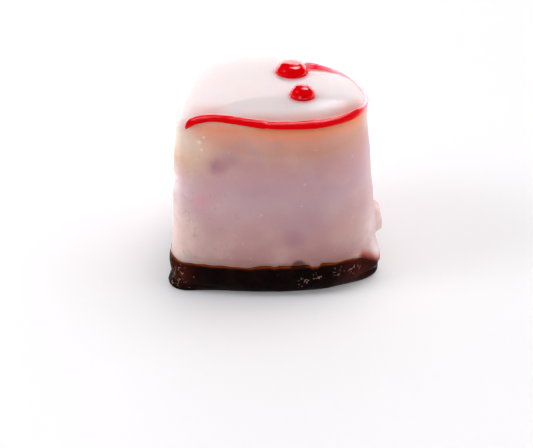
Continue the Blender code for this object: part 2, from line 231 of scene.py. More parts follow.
# Lights of the surroundings: radiance, and for the round ones the way they lie, in degrees
# to the right of straight behind the cake and up, and their outer and inner half angles
BACKDROP_TOP = math.sin(math.radians(30.3))
BACKDROP_LIT, BACKDROP_MIRRORED = (2.2, 2.16, 2.2), (4.4, 4.3, 4.35)
ROOM_LOW, ROOM_HIGH, ROOM_MIRRORED = (0.42, 0.41, 0.43), (0.10, 0.10, 0.11), (0.016, 0.016, 0.017)
PATCH = (10.5, 10.5, 11.0)
BOX, BOX_HEADING, BOX_RIM = (1.7, 1.69, 1.67), (66.0, 67.0), (28.0, 23.0)
WINDOW, WINDOW_HEADING, WINDOW_RIM = (4.0, 3.4, 4.2), (32.0, 63.0), (22.0, 17.0)
WINDOW_HOT, HOT_RIM, HOT_MIDDLE = (13.0, 12.4, 13.2), (13.0, 9.0), (7.0, 3.0)
SIDE_GLOW, SIDE_HEADING, SIDE_RIM = (0.9, 0.55, 1.2), (-106.0, 40.0), (15.0, 8.0)

# The light on the left, in millimetres and watts, and the place that it looks at
LEFT_HEADING, LEFT_DISTANCE, LEFT_SIZE, LEFT_POWER = (-105.0, 39.0), 520.0, 200.0, 0.7
CAKE_MIDDLE = np.array([0.0, 0.0, 20.0])


# Small tools

def bell(distance, width):
    return np.exp(-(distance / width) ** 2)


def smooth_step(value, low, high):
    t = np.clip((value - low) / (high - low), 0.0, 1.0)
    return t * t * (3 - 2 * t)


def eased(stations, columns, where):
    """Each column at `where`, along a cubic whose slopes are the stations' own differences."""
    stations = np.asarray(stations, float)
    columns = np.asarray(columns, float).reshape(len(stations), -1)
    where = np.asarray(where, float)
    slopes = np.gradient(columns, stations, axis=0)
    spot = np.clip(np.searchsorted(stations, where, side="right") - 1, 0, len(stations) - 2)
    width = (stations[spot + 1] - stations[spot])[..., None]
    t = (where[..., None] - stations[spot][..., None]) / width
    return ((2 * t**3 - 3 * t**2 + 1) * columns[spot] + (t**3 - 2 * t**2 + t) * slopes[spot] * width
            + (3 * t**2 - 2 * t**3) * columns[spot + 1] + (t**3 - t**2) * slopes[spot + 1] * width)


def unit(vectors):
    return vectors / np.linalg.norm(vectors, axis=-1)[..., None]


def gone_along(places):
    """The length gone along a path at each of its places."""
    return np.concatenate([[0.0], np.cumsum(np.linalg.norm(np.diff(places, axis=0), axis=1))])


def ripples(points, wavelength, seed, waves=22):
    """Smooth noise of about unit size: a sum of plane sine waves in random directions.

    noise(p) = sqrt(2 / n) * sum of sin(k . p + phase), |k| near 2 pi / wavelength.
    """
    draw = np.random.default_rng(seed)
    direction = unit(draw.normal(size=(waves, 3)))
    pace = 2 * math.pi / wavelength * draw.uniform(0.7, 1.4, size=(waves, 1))
    phase = draw.uniform(0, 2 * math.pi, size=waves)
    total = np.zeros(points.shape[:-1])
    for wave, shift in zip(direction * pace, phase):
        total += np.sin(points @ wave + shift)
    return total * math.sqrt(2.0 / waves)


def new_object(name, data):
    """An object in the scene for a mesh, a camera or a light."""
    piece = bpy.data.objects.new(name, data)
    bpy.context.scene.collection.objects.link(piece)
    return piece


def closed_surface(name, rows, low_pole, high_pole, material, attributes=None):
    """A closed mesh over a grid of rows: quads between rows and a fan at each pole.

    Row r, column c is vertex r * columns + c, and the last column joins the first. An
    attribute is given on the same grid, and its poles take the mean of the nearest row.
    """
    count_rows, columns = rows.shape[:2]
    vertices = np.vstack([rows.reshape(-1, 3), [low_pole], [high_pole]])
    here = np.arange(columns)
    after = np.roll(here, -1)
    start = (np.arange(count_rows - 1) * columns)[:, None]
    quads = np.stack([start + here, start + after, start + columns + after, start + columns + here],
                     axis=-1).reshape(-1, 4)
    low_index = count_rows * columns
    last = (count_rows - 1) * columns
    fans = np.vstack([np.column_stack([after, here, np.full(columns, low_index)]),
                      np.column_stack([last + here, last + after, np.full(columns, low_index + 1)])])
    mesh = bpy.data.meshes.new(name)
    mesh.vertices.add(len(vertices))
    mesh.vertices.foreach_set("co", (vertices * MM).ravel())
    mesh.loops.add(quads.size + fans.size)
    mesh.loops.foreach_set("vertex_index", np.concatenate([quads.ravel(), fans.ravel()]))
    sizes = np.concatenate([np.full(len(quads), 4), np.full(len(fans), 3)])
    mesh.polygons.add(len(sizes))
    mesh.polygons.foreach_set("loop_start", np.concatenate([[0], np.cumsum(sizes)[:-1]]))
    for key, grid in (attributes or {}).items():
        layer = mesh.attributes.new(key, "FLOAT", "POINT")
        values = np.concatenate([grid.ravel(), [grid[0].mean(), grid[-1].mean()]])
        layer.data.foreach_set("value", values.astype(np.float32))
    mesh.update(calc_edges=True)
    mesh.validate()
    mesh.shade_smooth()
    mesh.materials.append(material)
    piece = new_object(name, mesh)
    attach(piece, "root")
    return piece


# Heart outline

def half_arcs(half, side_length):
    """(length, turn) of the arcs of one half, from the point to the middle of the notch."""
    point_turn, side_turn, lobe_turn = (
        math.radians(half[key]) for key in ("point_turn", "side_turn", "lobe_turn"))
    notch_turn = math.radians(NOTCH_TURN)
    inner_turn = math.pi + notch_turn - point_turn - side_turn - lobe_turn
    return [(POINT_RADIUS * point_turn, point_turn), (side_length, side_turn),
            (half["lobe_radius"] * lobe_turn, lobe_turn),
            (half["inner_radius"] * inner_turn, inner_turn),
            (NOTCH_RADIUS * notch_turn, -notch_turn)]


def arcs_walk(arcs, where):
    """Places and headings at the lengths `where` along tangent arcs that start along +X.

    On an arc of length L and turn t from heading h0, a point of heading h lies at the
    arc's start plus (L / t) * (sin h - sin h0, cos h0 - cos h).
    """
    length, turn = np.array(arcs).T
    heading = np.concatenate([[0.0], np.cumsum(turn)])
    travelled = np.concatenate([[0.0], np.cumsum(length)])
    radius = length / turn
    step = np.column_stack([radius * (np.sin(heading[1:]) - np.sin(heading[:-1])),
                            radius * (np.cos(heading[:-1]) - np.cos(heading[1:]))])
    start = np.vstack([[0.0, 0.0], np.cumsum(step, axis=0)])
    arc = np.clip(np.searchsorted(travelled, where, side="right") - 1, 0, len(length) - 1)
    h0 = heading[arc]
    h = h0 + (where - travelled[arc]) / radius[arc]
    place = start[arc] + radius[arc][:, None] * np.column_stack(
        [np.sin(h) - np.sin(h0), np.cos(h0) - np.cos(h)])
    return place, h


class Heart:
    """The outline of the mousse's foot on `count` even steps, in the model's frame."""

    def __init__(self, count):
        def whole(right_side, left_side):
            return half_arcs(RIGHT_HALF, right_side) + half_arcs(LEFT_HALF, left_side)[::-1]

        def end(right_side, left_side):
            arcs = whole(right_side, left_side)
            return arcs_walk(arcs, np.array([sum(length for length, _ in arcs)]))[0][0]

        trial = end(TRIAL_SIDE, TRIAL_SIDE)
        gains = np.column_stack([end(2 * TRIAL_SIDE, TRIAL_SIDE) - trial,
                                 end(TRIAL_SIDE, 2 * TRIAL_SIDE) - trial]) / TRIAL_SIDE
        right_side, left_side = TRIAL_SIDE + np.linalg.solve(gains, -trial)
        arcs = whole(right_side, left_side)
        self.length = sum(length for length, _ in arcs)
        self.right_length = sum(length for length, _ in half_arcs(RIGHT_HALF, right_side))
        self.along = np.arange(count) * self.length / count
        self.plan, self.heading = arcs_walk(arcs, self.along)
        self.normal = np.column_stack([np.sin(self.heading), -np.cos(self.heading)])
        foot_ring = wall_place(self.plan, self.normal, FOOT_RING_HEIGHT, -wall_inset(FOOT_RING_HEIGHT))
        corner = np.array(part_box("mousse_heart")[0])[:2] / MM
        self.plan = self.plan + corner - foot_ring[:, :2].min(axis=0)

    def at(self, along):
        """Plan place and outward normal at lengths along the outline."""
        plan, normal = (
            np.column_stack([np.interp(along, self.along, column, period=self.length)
                             for column in values.T]) for values in (self.plan, self.normal))
        return plan, unit(normal)

    def gap_from(self, plan_place):
        """Length along the outline between each of its points and the one nearest a plan place."""
        nearest = self.along[np.argmin(np.linalg.norm(self.plan - plan_place, axis=1))]
        gap = np.abs(self.along - nearest)
        return np.minimum(gap, self.length - gap)

    def bell_facing(self, facing, width):
        """A bell of plan distance round the outline point whose normal faces `facing` degrees."""
        turned = (self.heading - math.pi / 2 - math.radians(facing) + math.pi) % (2 * math.pi) - math.pi
        middle = self.plan[np.argmin(np.abs(turned))]
        return bell(np.linalg.norm(self.plan - middle, axis=1), width)


# Mousse

def wall_inset(height):
    return (height - BASE_HEIGHT) * math.tan(WALL_DRAFT)


def wall_place(plan, normal, height, out):
    """Places at a height, moved out along the outline's normals, with the lean and the tilt.

    place = plan + lean * (1 - (1 - s)^2) + normal * out, and z = height + slope . place * s^2,
    where s is the share of the way from the chocolate up to the rim.
    """
    height = np.broadcast_to(np.asarray(height, float), np.shape(out) or (len(plan),))
    share = np.clip((height - BASE_HEIGHT) / (RIM_HEIGHT - BASE_HEIGHT), 0.0, None)
    place = plan + LEAN * (1 - (1 - share[..., None]) ** 2) + normal * np.asarray(out)[..., None]
    return np.concatenate([place, (height + place @ TOP_SLOPE * share**2)[..., None]], axis=-1)


def crown_rise(scale):
    """Rise of the top where the outline is shrunk by `scale`: steep at the rim, flat inside."""
    return CROWN_RISE * (1 - np.exp(-CROWN_FALL * (1 - scale**2))) / (1 - math.exp(-CROWN_FALL))


def edge_drop(heart):
    """How far below the foot the glaze hangs over the chocolate, along the outline."""
    along, drop = np.array(EDGE_DROP, float).T
    drop = np.interp(heart.along, along, drop, period=heart.length)
    drop = drop + 0.05 * ripples(np.column_stack([heart.plan, drop]), 4.0, seed=7)
    for place, width, deeper in EDGE_LOBES:
        drop = drop + deeper * np.exp(-(heart.gap_from(place) / width) ** 4)
    return np.maximum(drop, 0.2)


def glaze_out(heart, height):
    """How far set glaze stands out of the drafted wall: the lump and the dent, on the grid."""
    high = LUMP["high"]
    lump = (LUMP["reach"] + LUMP["belly"] * np.clip((high - height) / (high - LUMP["low"]), 0.0, 1.0))
    lump = lump * smooth_step(height, high + 0.5, high - 0.45)
    lump = lump * smooth_step(height, LUMP["low"] - 0.15, LUMP["low"] + 0.15)
    lump = lump * np.exp(-((heart.along - LUMP["along"]) / LUMP["width"]) ** 4)
    level = np.clip(height, DENT_HEIGHTS[0], DENT_HEIGHTS[-1])
    dent = eased(DENT_HEIGHTS, DENT_OUT, level)[..., 0] * bell(heart.gap_from(DENT_PLACE), DENT_WIDTH)
    return lump + dent


class MousseTop:
    """Height of the finished top over any plan place, and the way it faces there."""

    def __init__(self, heart):
        self.heart = heart
        self.shoulder_foot = RIM_HEIGHT - SHOULDER_RADIUS
        self.end_inset = SHOULDER_RADIUS * (1 - math.cos(SHOULDER_END))
        self.end_height = self.shoulder_foot + SHOULDER_RADIUS * math.sin(SHOULDER_END)
        self.rim = wall_place(heart.plan, heart.normal, self.end_height,
                              np.full(len(heart.plan), -wall_inset(self.shoulder_foot) - self.end_inset))
        polar = np.arctan2(self.rim[:, 1], self.rim[:, 0])
        order = np.argsort(polar)
        self.polar = polar[order]
        self.reach = np.linalg.norm(self.rim[order, :2], axis=1)

    def height(self, plan):
        """z = rim height + slope . plan + rise(r / R), R being the rim's reach that way."""
        reach = np.interp(np.arctan2(plan[..., 1], plan[..., 0]), self.polar, self.reach,
                          period=2 * math.pi)
        scale = np.minimum(np.linalg.norm(plan, axis=-1) / reach, 1.0)
        return self.end_height + plan @ TOP_SLOPE + crown_rise(scale)

    def place(self, along, inset):
        """Place and normal on the shoulder or the top, by length along the outline and inset."""
        plan, normal = self.heart.at(along)
        angle = np.arccos(np.clip(1 - inset / SHOULDER_RADIUS, -1.0, 1.0))
        on_shoulder = inset < self.end_inset
        height = np.where(on_shoulder, self.shoulder_foot + SHOULDER_RADIUS * np.sin(angle),
                          self.end_height)
        place = wall_place(plan, normal, height, -wall_inset(self.shoulder_foot) - inset)
        place[:, 2] = np.where(on_shoulder, place[:, 2], self.height(place[:, :2]))
        round_normal = np.column_stack([normal * np.cos(angle)[:, None], np.sin(angle)])
        return place, np.where(on_shoulder[:, None], round_normal, self.facing(place[:, :2]))

    def facing(self, plan, step=0.1):
        """Unit normals of the top from differences of its height over a small step."""
        slope = [(self.height(plan + shift) - self.height(plan - shift)) / (2 * step)
                 for shift in (np.array([step, 0.0]), np.array([0.0, step]))]
        return unit(np.column_stack([-slope[0], -slope[1], np.ones(len(plan))]))


def glazed_mousse(heart, top, beads, material):
    """The mousse with its glaze: underside, lip, drafted wall, shoulder and crown, as rows.

    The wall's rows climb from the lower edge of the glaze, which hangs over the chocolate
    and there follows the chocolate's side a film's thickness out.
    """
    drop = edge_drop(heart)
    foot = FOOT_HEIGHT - drop
    share = (np.linspace(0.0, 1.0, WALL_ROWS) ** 1.5)[:, None]
    height = foot + share * (top.shoulder_foot - foot)
    over_chocolate = smooth_step(drop, 0.0, 0.5) * (1 - smooth_step(height, 7.0, 8.6))
    film = base_out(heart, np.minimum(height, 6.9)) + GLAZE_FILM + wall_inset(height)
    lip = np.clip(1 - (height - foot) / LIP_RADIUS, 0.0, 1.0)
    out = (glaze_out(heart, height) - wall_inset(height) + over_chocolate * film
           - LIP_RADIUS * (1 - np.sqrt(1 - lip**2)))
    wall = wall_place(heart.plan, heart.normal, height, out)
    waves = 0.085 * ripples(wall, 13.0, seed=3) + 0.03 * ripples(wall, 5.0, seed=4)
    waves = waves * smooth_step(height, 8.0, 12.0) * (1 - smooth_step(height, 31.0, 35.5))
    raised = sum(0.5 * size * bell(np.linalg.norm(wall - place, axis=-1), size)
                 for place, _, _, size in GLAZE_FLECKS_AND_GLINTS if size)
    wall[..., :2] += heart.normal * (waves + raised)[..., None]

    angle = np.linspace(0.0, SHOULDER_END, SHOULDER_ROWS + 1)[1:, None]
    shoulder_inset = SHOULDER_RADIUS * (1 - np.cos(angle)) + np.zeros(len(heart.plan))
    shoulder_height = top.shoulder_foot + SHOULDER_RADIUS * np.sin(angle) + np.zeros(len(heart.plan))
    shoulder = wall_place(heart.plan, heart.normal, shoulder_height,
                          -wall_inset(top.shoulder_foot) - shoulder_inset)

    scale = (1 - np.linspace(0.0, 1.0, CROWN_ROWS + 1)[1:-1] ** 1.15)[:, None, None]
    plan = top.rim[:, :2] * scale
    crown = np.dstack([plan, top.end_height + plan @ TOP_SLOPE + crown_rise(scale[..., 0])])

    under = np.column_stack([heart.plan - heart.normal * UNDER_INSET,
                             np.full(len(heart.plan), UNDER_HEIGHT)])[None]
    rows = np.concatenate([under, wall, shoulder, crown])
    top_share, line_near = line_and_top(heart, top, rows, beads)
    above_edge = np.full(rows.shape[:2], RIM_HEIGHT)
    above_edge[0] = 0.0
    above_edge[1:WALL_ROWS + 1] = height - foot
    piece = closed_surface("glazed_mousse", rows, (0.0, 0.0, UNDER_HEIGHT),
                           (0.0, 0.0, top.end_height + CROWN_RISE), material,
                           {"top_share": top_share, "line_near": line_near, "above_edge": above_edge})
    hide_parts("mousse_heart")


def line_and_top(heart, top, rows, beads):
    """Two grids: how much each point belongs to the pale top, and how near the red line is.

    The top is bounded by the line on the right half and by the shoulder, softly, on the
    left. A point belongs to it by its distance inward and upward from the nearest place of
    that loop. Nearness falls from 1 at the line's middle to 0 at `LINE_GLOW` from it, and
    is less where the line is pale and at its tip.
    """
    line = beads[0][::6]
    tip = np.linalg.norm(line - line[0], axis=1)
    depth = np.clip(1 - beads[4][::6], 0.0, 1.0) ** 1.3 * (
        0.65 * smooth_step(tip, 0.0, 7.0) + 0.35 * smooth_step(tip, 6.0, 17.0))
    rest = np.linspace(heart.right_length, heart.length, 90)
    loop = np.vstack([line, top.place(rest, np.full(len(rest), 0.3))[0]])
    soft = np.concatenate([np.full(len(line), 0.4), np.full(len(rest), 2.3)])
    along = np.roll(loop, -1, axis=0) - np.roll(loop, 1, axis=0)
    inward = unit(np.column_stack([-along[:, 1], along[:, 0]]))
    closest = np.full(rows.shape[:2], np.inf)
    line_near = np.zeros(rows.shape[:2])
    signed = np.zeros(rows.shape[:2])
    for number, (place, way, width) in enumerate(zip(loop, inward, soft)):
        away = rows - place
        gap = np.linalg.norm(away, axis=-1)
        within = ((away[..., :2] @ way) + away[..., 2]) * math.sqrt(0.5) / width
        signed = np.where(gap < closest, within, signed)
        closest = np.minimum(closest, gap)
        if number < len(line):
            line_near = np.maximum(line_near, depth[number] * np.clip(1 - gap / LINE_GLOW, 0.0, 1.0))
    return smooth_step(signed, -1.0, 1.0), line_near


# Piped line and drops

def line_beads(heart, top):
    """Centres, surface normals, half widths, flatness and paleness along the bead, evenly spaced."""
    route = np.array(LINE_ROUTE)
    fraction = np.linspace(route[0, 0], route[-1, 0], 5 * LINE_STATIONS)
    columns = eased(route[:, 0], route[:, 1:], fraction)
    place, normal = top.place(fraction * heart.right_length, columns[:, 0])
    gone = gone_along(place)
    even = np.linspace(0.0, gone[-1], LINE_STATIONS)
    track = np.column_stack([np.interp(even, gone, column)
                             for column in np.column_stack([place, normal, columns[:, 1:]]).T])
    centres, normals = track[:, :3], unit(track[:, 3:6])
    width, flat, pale = track[:, 6:].T
    width = width * (1 + 0.03 * ripples(centres, 7.0, seed=11) + 0.015 * ripples(centres, 2.6, seed=12))
    return centres, normals, width, flat, pale


def piped_line(centres, normals, width, flat, pale, material):
    """A bead along the centres: a lens-like ring of points round each, with round ends.

    Ring point = centre + w * ((cos a + c * max(sin a, 0)) * side + f * |sin a|^p * up), where
    w is half the width, c the shift of the crest, less where it is pale, and f the share that
    the height is of w; below the glaze the depth is a third of that. The power p is larger
    where the jelly is pale, so that it runs out smoothly there, and it is palest at its thin
    sides; the paleness is partly a painted reflection of the bright backdrop. The rings of
    each end shrink as a quarter circle.
    """
    along = unit(np.gradient(centres, axis=0))
    side = unit(np.cross(along, normals))
    up = np.cross(side, along)
    angle = np.linspace(0.0, 2 * math.pi, LINE_SIDES, endpoint=False)
    power = 1.0 + 0.8 * pale[:, None]
    climb = np.where(np.sin(angle) > 0, np.abs(np.sin(angle)) ** power, 0.35 * np.sin(angle))
    gone = gone_along(centres)
    near_end = np.minimum(gone / width[0], (gone[-1] - gone) / width[-1])
    size = width * np.sqrt(np.clip(1 - (1 - np.clip(near_end, 0.0, 1.0)) ** 2, 0.0025, 1.0))
    crest = CREST_SHIFT * (1 - pale[:, None]) * np.maximum(np.sin(angle), 0.0)
    across = size[:, None] * (np.cos(angle) + crest)
    above = (size * flat)[:, None] * climb
    rows = centres[:, None] + across[..., None] * side[:, None] + above[..., None] * up[:, None]
    pale = pale[:, None] * (0.7 + (0.55 + 1.5 * (1 - pale[:, None])) * np.cos(angle) ** 2)
    piece = closed_surface("piped_line", rows[:, ::-1], centres[0] - along[0] * 0.02,
                           centres[-1] + along[-1] * 0.02, material, {"pale": pale})


def jelly_drop(name, top, material):
    """A set drop: a puddle with a flattened top and a thin foot where it wets the glaze.

    With t from -25 to 90 degrees, its radius is r cos(t)^q plus the foot, and its height
    h sin(t)^1.15, where q is its flatness. The rows lie closer together towards the top.
    """
    plan, radius, height, flatness = DROPS[name]
    middle = np.array([*plan, top.height(np.array(plan))])
    t = np.radians(90.0 - 115.0 * np.linspace(1.0, 0.004, DROP_ROWS) ** 1.8)[:, None]
    climb = height * np.sign(t) * np.abs(np.sin(t)) ** 1.15
    foot = 0.12 * np.exp(-((climb - 0.02) / 0.12) ** 2)
    around = np.linspace(0.0, 2 * math.pi, DROP_SIDES, endpoint=False)
    reach = radius * np.cos(t) ** flatness + foot
    uneven = 1 + 0.012 * np.sin(2 * around + 0.7) + 0.008 * np.sin(3 * around + radius)
    rows = np.stack([reach * uneven * np.cos(around), reach * uneven * np.sin(around),
                     climb + np.zeros(DROP_SIDES)], axis=-1) + middle
    rows[..., 2] += (rows[..., :2] - middle[:2]) @ TOP_SLOPE
    piece = closed_surface(name, rows, middle + (0.0, 0.0, climb[0, 0]), middle + (0.0, 0.0, height),
                           material)


# Chocolate base

def base_out(heart, height):
    """How far the chocolate's side stands out of the foot outline, on the grid, smooth."""
    profile = eased(SIDE_HEIGHTS, SIDE_OUT, np.clip(height, 0.0, BASE_HEIGHT))[..., 0]
    middle = np.sin(math.pi * np.clip(height, 0.0, BASE_HEIGHT) / BASE_HEIGHT)
    low = np.clip(1 - height / (LOW_PART * BASE_HEIGHT), 0.0, 1.0)
    wave = sum(size * np.sin(count * heart.heading + phase) for count, size, phase in BASE_WAVES)
    out = profile + wave * middle
    high = smooth_step(height, 4.0, BASE_HEIGHT)
    for facing, width, out_middle, out_low, out_high in BASE_BULGES:
        out = out + heart.bell_facing(facing, width) * (
            out_middle * middle + out_low * low + out_high * high)
    return out


def chocolate_slab(heart, material):
    """The chocolate base: flat underside and a swelling side with lacy tufts in its surface.

    A tuft is a ball in which fine ridges stand out, a ridge being where a noise passes zero:
    lace = 1 - |noise| / width. Elsewhere the side is calm, with low waves. Where glaze hides
    the side, it is smooth and lies a little further in, and its rim climbs to the glaze.
    """
    share = np.linspace(0.0, 1.0, BASE_ROWS)[:, None]
    height = share * BASE_HEIGHT + np.zeros(len(heart.plan))
    side = wall_plain(heart, height, base_out(heart, height))
    patch = sum(bell(np.linalg.norm(side - (*plan, middle), axis=-1), radius)
                for plan, middle, radius in TUFTS)
    patch = smooth_step(np.clip(patch, 0.0, 1.0), 0.1, 0.6)
    lace = np.maximum(1 - np.abs(ripples(side, 1.9, seed=21)) / 0.3,
                      1 - np.abs(ripples(side, 1.3, seed=22)) / 0.25)
    lace = np.clip(lace, 0.0, 1.0) * patch * (0.6 + 0.4 * np.sin(3.0 * ripples(side, 2.5, seed=25)))
    calm = smooth_step(height, 0.1, 1.0) * (1 - smooth_step(height, 6.2, 7.1))
    relief = (TUFT_RELIEF * (lace - 0.35 * patch) * smooth_step(height, 0.15, 0.9)
              + calm * (0.09 * ripples(side, 6.0, seed=23) + 0.015 * ripples(side, 1.6, seed=24)))
    bare = smooth_step(FOOT_HEIGHT - edge_drop(heart) - height, -0.3, 0.3)
    side = wall_plain(heart, height,
                      base_out(heart, height) + relief * bare - HIDDEN_INSET * (1 - bare))
    side[..., 2] += RIM_CLIMB * smooth_step(height, 6.8, BASE_HEIGHT)
    middle = heart.plan.mean(axis=0)
    under = side[:1] * (0.5, 0.5, 1.0) + (*(0.5 * middle), 0.0)
    over = side[-1:] * (0.6, 0.6, 0.0) + (*(0.4 * middle), BASE_HEIGHT)
    rows = np.concatenate([under, side, over])
    below_edge = FOOT_HEIGHT - edge_drop(heart) - rows[..., 2]
    lace = np.concatenate([np.zeros_like(under[..., 0]), lace, np.zeros_like(over[..., 0])])
    piece = closed_surface("chocolate_slab", rows, (*middle, 0.0), (*middle, BASE_HEIGHT), material,
                           {"below_edge": below_edge, "lace": lace})
    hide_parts("chocolate_base")


def wall_plain(heart, height, out):
    """Grid places straight above the outline, moved out along its normals."""
    plan = heart.plan + heart.normal * out[..., None]
    return np.concatenate([plan, height[..., None]], axis=-1)


# Shader trees

class Wire:
    """An output socket. Arithmetic and the calls on it add nodes to its tree."""

    def __init__(self, tree, socket):
        self.tree = tree
        self.socket = socket

    def math(self, operation, *others):
        return self.tree.node("ShaderNodeMath", {"operation": operation},
                              dict(enumerate((self, *others))))

    def __add__(self, other):
        return self.math("ADD", other)

    def __mul__(self, other):
        return self.math("MULTIPLY", other)

    def __sub__(self, other):
        return self.math("SUBTRACT", other)

    def __rsub__(self, other):
        return self.tree.node("ShaderNodeMath", {"operation": "SUBTRACT"}, {0: other, 1: self})

    __radd__ = __add__
    __rmul__ = __mul__

    def rises(self, low, high):
        """0 below `low`, 1 above `high`, smooth between; low may be the larger number."""
        return self.tree.node("ShaderNodeMapRange", {"interpolation_type": "SMOOTHSTEP"},
                              {"Value": self, "From Min": low, "From Max": high}, "Result")

    def vector(self, operation, other, output="Vector"):
        """A vector operation with another vector; its output "Value" is a number."""
        return self.tree.node("ShaderNodeVectorMath", {"operation": operation},
                              {0: self, 1: other}, output)

    def near(self, place, radius, core=0.0):
        """A soft ball of the given radius round a place: 1 in its core, 0 outside."""
        return self.vector("DISTANCE", place, "Value").rises(radius, core)

    def disc(self, heading_degrees, rim):
        """1 where a direction is within rim[1] degrees of a heading, 0 beyond rim[0]."""
        outer, inner = (math.cos(math.radians(angle)) for angle in rim)
        return self.vector("DOT_PRODUCT", heading(*heading_degrees), "Value").rises(outer, inner)

    def noise(self, scale, detail=3.0, roughness=0.5, stretch=None):
        """Noise from 0 to 1; `scale` is in waves per millimetre."""
        return self.tree.node("ShaderNodeTexNoise", None, {
            "Vector": self.vector("MULTIPLY", stretch) if stretch else self, "Scale": scale,
            "Detail": detail, "Roughness": roughness})

    def part(self, axis):
        return self.tree.node("ShaderNodeSeparateXYZ", None, {0: self}, axis)

    def into(self, shader, socket):
        self.tree.tree.links.new(self.socket, shader.inputs[socket])


class Tree:
    """A node tree under construction."""

    def __init__(self, node_tree):
        self.tree = node_tree

    def node(self, kind, settings=None, sockets=None, output=0):
        """Add a node: its settings first, then values or links of its sockets."""
        made = self.tree.nodes.new(kind)
        for key, value in (settings or {}).items():
            if key == "stops":
                self.set_stops(made.color_ramp, value)
            else:
                setattr(made, key, value)
        for key, value in (sockets or {}).items():
            if isinstance(value, Wire):
                value.into(made, key)
            else:
                made.inputs[key].default_value = value
        return Wire(self, made.outputs[output])

    @staticmethod
    def set_stops(ramp, stops):
        while len(ramp.elements) < len(stops):
            ramp.elements.new(0.5)
        for element, (position, colour) in zip(ramp.elements, stops):
            element.position = position
            element.color = (*colour, 1.0)

    def mix(self, first, second, factor):
        """A colour between two colours, each a link or three numbers."""
        def colour(value):
            return value if isinstance(value, Wire) else (*value, 1.0)
        return self.node("ShaderNodeMix", {"data_type": "RGBA"},
                         {0: factor, 6: colour(first), 7: colour(second)}, 2)

    def places(self):
        """Object coordinates in millimetres."""
        place = self.node("ShaderNodeTexCoord", output="Object")
        return self.node("ShaderNodeVectorMath", {"operation": "SCALE"}, {0: place, "Scale": 1 / MM})

    def attribute(self, name):
        return self.node("ShaderNodeAttribute", {"attribute_name": name}, None, "Fac")

    def bump(self, height, distance, strength=1.0):
        return self.node("ShaderNodeBump", None, {"Height": height, "Distance": distance * MM,
                                                  "Strength": strength})


def new_material(name, sockets):
    """A material whose Principled shader has these constant values; returns it, tree, shader."""
    material = bpy.data.materials.new(name)
    material.use_nodes = True
    shader = material.node_tree.nodes["Principled BSDF"]
    for key, value in sockets.items():
        shader.inputs[key].default_value = value
    return material, Tree(material.node_tree), shader


